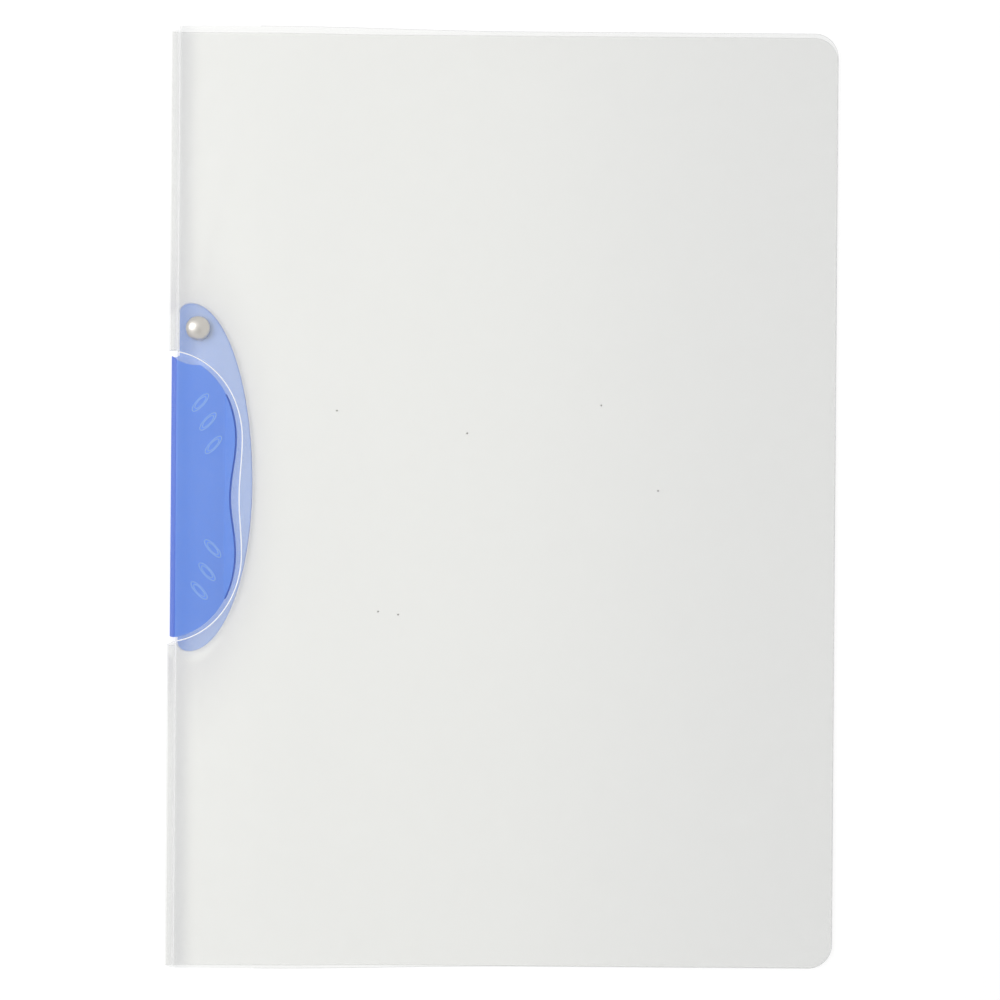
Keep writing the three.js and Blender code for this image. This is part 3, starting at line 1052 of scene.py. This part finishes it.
# %% Satin nickel
def satin_nickel():
    made = bpy.data.materials.new("satin_nickel")
    made.use_nodes = True
    nodes = made.node_tree.nodes
    link = made.node_tree.links.new
    shader = nodes["Principled BSDF"]
    shader.inputs["Metallic"].default_value = 1.0
    pattern = nodes.new("ShaderNodeGroup")
    pattern.node_tree = grain_group
    pattern.inputs["Grain per metre"].default_value = 3000.0
    pattern.inputs["Clouds per metre"].default_value = 300.0
    tones = nodes.new("ShaderNodeMix")
    tones.data_type = "RGBA"
    tones.inputs["A"].default_value = (0.56, 0.53, 0.50, 1.0)
    tones.inputs["B"].default_value = (0.72, 0.68, 0.64, 1.0)
    rough = nodes.new("ShaderNodeMapRange")
    rough.inputs["To Min"].default_value = 0.3
    rough.inputs["To Max"].default_value = 0.42
    link(pattern.outputs["Tone"], tones.inputs["Factor"])
    link(tones.outputs["Result"], shader.inputs["Base Color"])
    link(pattern.outputs["Tone"], rough.inputs["Value"])
    link(rough.outputs["Result"], shader.inputs["Roughness"])
    return made


# %% Turn the rivet
nickel = satin_nickel()
cap_radius = 4.0
cap_rim = 0.35
cap_dome = 1.9
inside_cap = [(0, 3.9), (SHANK, 3.9), (SHANK, PANEL_TOP), (3.85, PANEL_TOP)]
cap_edge = (cap_radius, PANEL_TOP + 0.15)
dome = arc(0, PANEL_TOP + cap_rim, cap_radius, cap_dome, 0, 90, 18)
crown = (0, PANEL_TOP + cap_rim + cap_dome)
rivet_cap = turned("rivet_cap_domed", [*inside_cap, cap_edge, *dome[:-1], crown])
foot = [(0, 0.2), (3.6, 0.2), (3.8, 0.35), (3.8, 0.6), (3.7, 0.7)]
shank = [(1.5, 0.7), (1.5, 3.6), (0, 3.6)]
rivet_post = turned("rivet_post_turned", foot + shank)
for piece in (rivet_cap, rivet_post):
    piece.data.materials.append(nickel)
    piece.data.shade_smooth()
    piece.data.set_sharp_from_angle(angle=math.radians(35.0))
    print(piece.name, len(piece.data.polygons), "faces")

# %% [markdown]
# ## What rides on what
# Each finished piece is told which body it moves with, which measured solid it stands for and which
# finish it takes, so that the folder still opens and the clip still swings.

# %% Join the pieces to the bodies
riders = (
    (front_film, "cover", "film", "front_cover"),
    (window_lip, "cover", "film", "front_cover"),
    *[(fold, "cover", "film", "front_cover") for fold in crease_folds],
    (flecks, "cover", "film", "front_cover"),
    (back_film, "back", "film", "back_cover"),
    (clip_body, "clip", "clip", "swing_clip"),
    (rear_rim, "clip", "clip", "swing_clip"),
    (grip_ovals, "clip", "clip", "swing_clip"),
    (rivet_cap, "back", "rivet", "rivet_cap"),
    (rivet_post, "back", "rivet", "rivet_post"),
)
for piece, body, slot, node in riders:
    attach(piece, body)
    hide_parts(node)
    print(piece.name, "rides on", body)

# %% [markdown]
# ## Floor and light
# The folder lies on a plain white desk under soft light. The world gives most of the light from all
# sides, and one large lamp at the upper left adds the soft highlight on the rivet. The floor's colour is
# a little under white and keeps the shadow; for the camera and for reflections it glows very slightly,
# so that it looks white.


# %% White floor
FLOOR_GLOW = 0.155


def white_floor():
    made = bpy.data.materials.new("desk_white")
    made.use_nodes = True
    nodes = made.node_tree.nodes
    link = made.node_tree.links.new
    shader = nodes["Principled BSDF"]
    shader.inputs["Base Color"].default_value = (0.9, 0.9, 0.9, 1.0)
    shader.inputs["Roughness"].default_value = 1.0
    shader.inputs["Specular IOR Level"].default_value = 0.0
    shader.inputs["Emission Color"].default_value = (1.0, 1.0, 1.0, 1.0)
    glow = nodes.new("ShaderNodeMath")
    glow.operation = "MULTIPLY"
    glow.inputs[1].default_value = FLOOR_GLOW
    link(seen_directly(nodes, link), glow.inputs[0])
    link(glow.outputs["Value"], shader.inputs["Emission Strength"])
    return made


floor_mesh = bpy.data.meshes.new("desk")
corners = [(-2.5, -2.5), (2.5, -2.5), (2.5, 2.5), (-2.5, 2.5)]
floor_mesh.from_pydata([(x, y, -0.2 * MM) for x, y in corners], [], [(0, 1, 2, 3)])
floor_mesh.materials.append(white_floor())
desk = placed("desk", floor_mesh)
print("desk", desk.dimensions[:])

# %% [markdown]
# A dome of metal in an all-white room would look flat. In a real studio it also mirrors the dark camera
# and its stand, so a dark card hangs above. It shows in glossy reflections only, and takes no light from
# the folder.


# %% World and lamp
def soft_world(light, seen):
    world = bpy.data.worlds.new("studio")
    world.use_nodes = True
    nodes = world.node_tree.nodes
    link = world.node_tree.links.new
    strength = nodes.new("ShaderNodeMix")
    strength.inputs["A"].default_value = light
    strength.inputs["B"].default_value = seen
    link(seen_directly(nodes, link), strength.inputs["Factor"])
    link(strength.outputs["Result"], nodes["Background"].inputs["Strength"])
    nodes["Background"].inputs["Color"].default_value = (1.0, 1.0, 1.0, 1.0)
    return world


def soft_lamp(name, place, size, watts):
    data = bpy.data.lights.new(name, "AREA")
    data.energy = watts
    data.size = size
    lamp = bpy.data.objects.new(name, data)
    bpy.context.scene.collection.objects.link(lamp)
    lamp.location = place
    away = math.hypot(place[0], place[1])
    lamp.rotation_euler = (math.atan2(away, place[2]), 0.0, math.atan2(place[0], -place[1]))
    return lamp


# Stacked sheets have many faces, and the usual eight see-through steps would end in black.
bpy.context.scene.cycles.transparent_max_bounces = 32
bpy.context.scene.world = soft_world(0.66, 1.0)
key = soft_lamp("window_light", (-1.2, 0.32, 1.5), 1.0, 18.0)
print("lamp", key.name, round(key.location.length, 2), "m away")

# %% Dark card over the desk
card_mesh = bpy.data.meshes.new("camera_stand")
card_corners = [(-1.3, -0.16), (-0.02, -0.16), (-0.02, 0.03), (-1.3, 0.12)]
card_mesh.from_pydata([(x, y, 0.75) for x, y in card_corners], [], [(0, 1, 2, 3)])
card_black = bpy.data.materials.new("card_black")
card_black.use_nodes = True
card_shader = card_black.node_tree.nodes["Principled BSDF"]
card_shader.inputs["Base Color"].default_value = (0.02, 0.018, 0.016, 1.0)
card_mesh.materials.append(card_black)
card = placed("camera_stand", card_mesh)
card.visible_camera = False
card.visible_diffuse = False
card.visible_shadow = False
card.visible_transmission = False
print("card", card.dimensions[:])
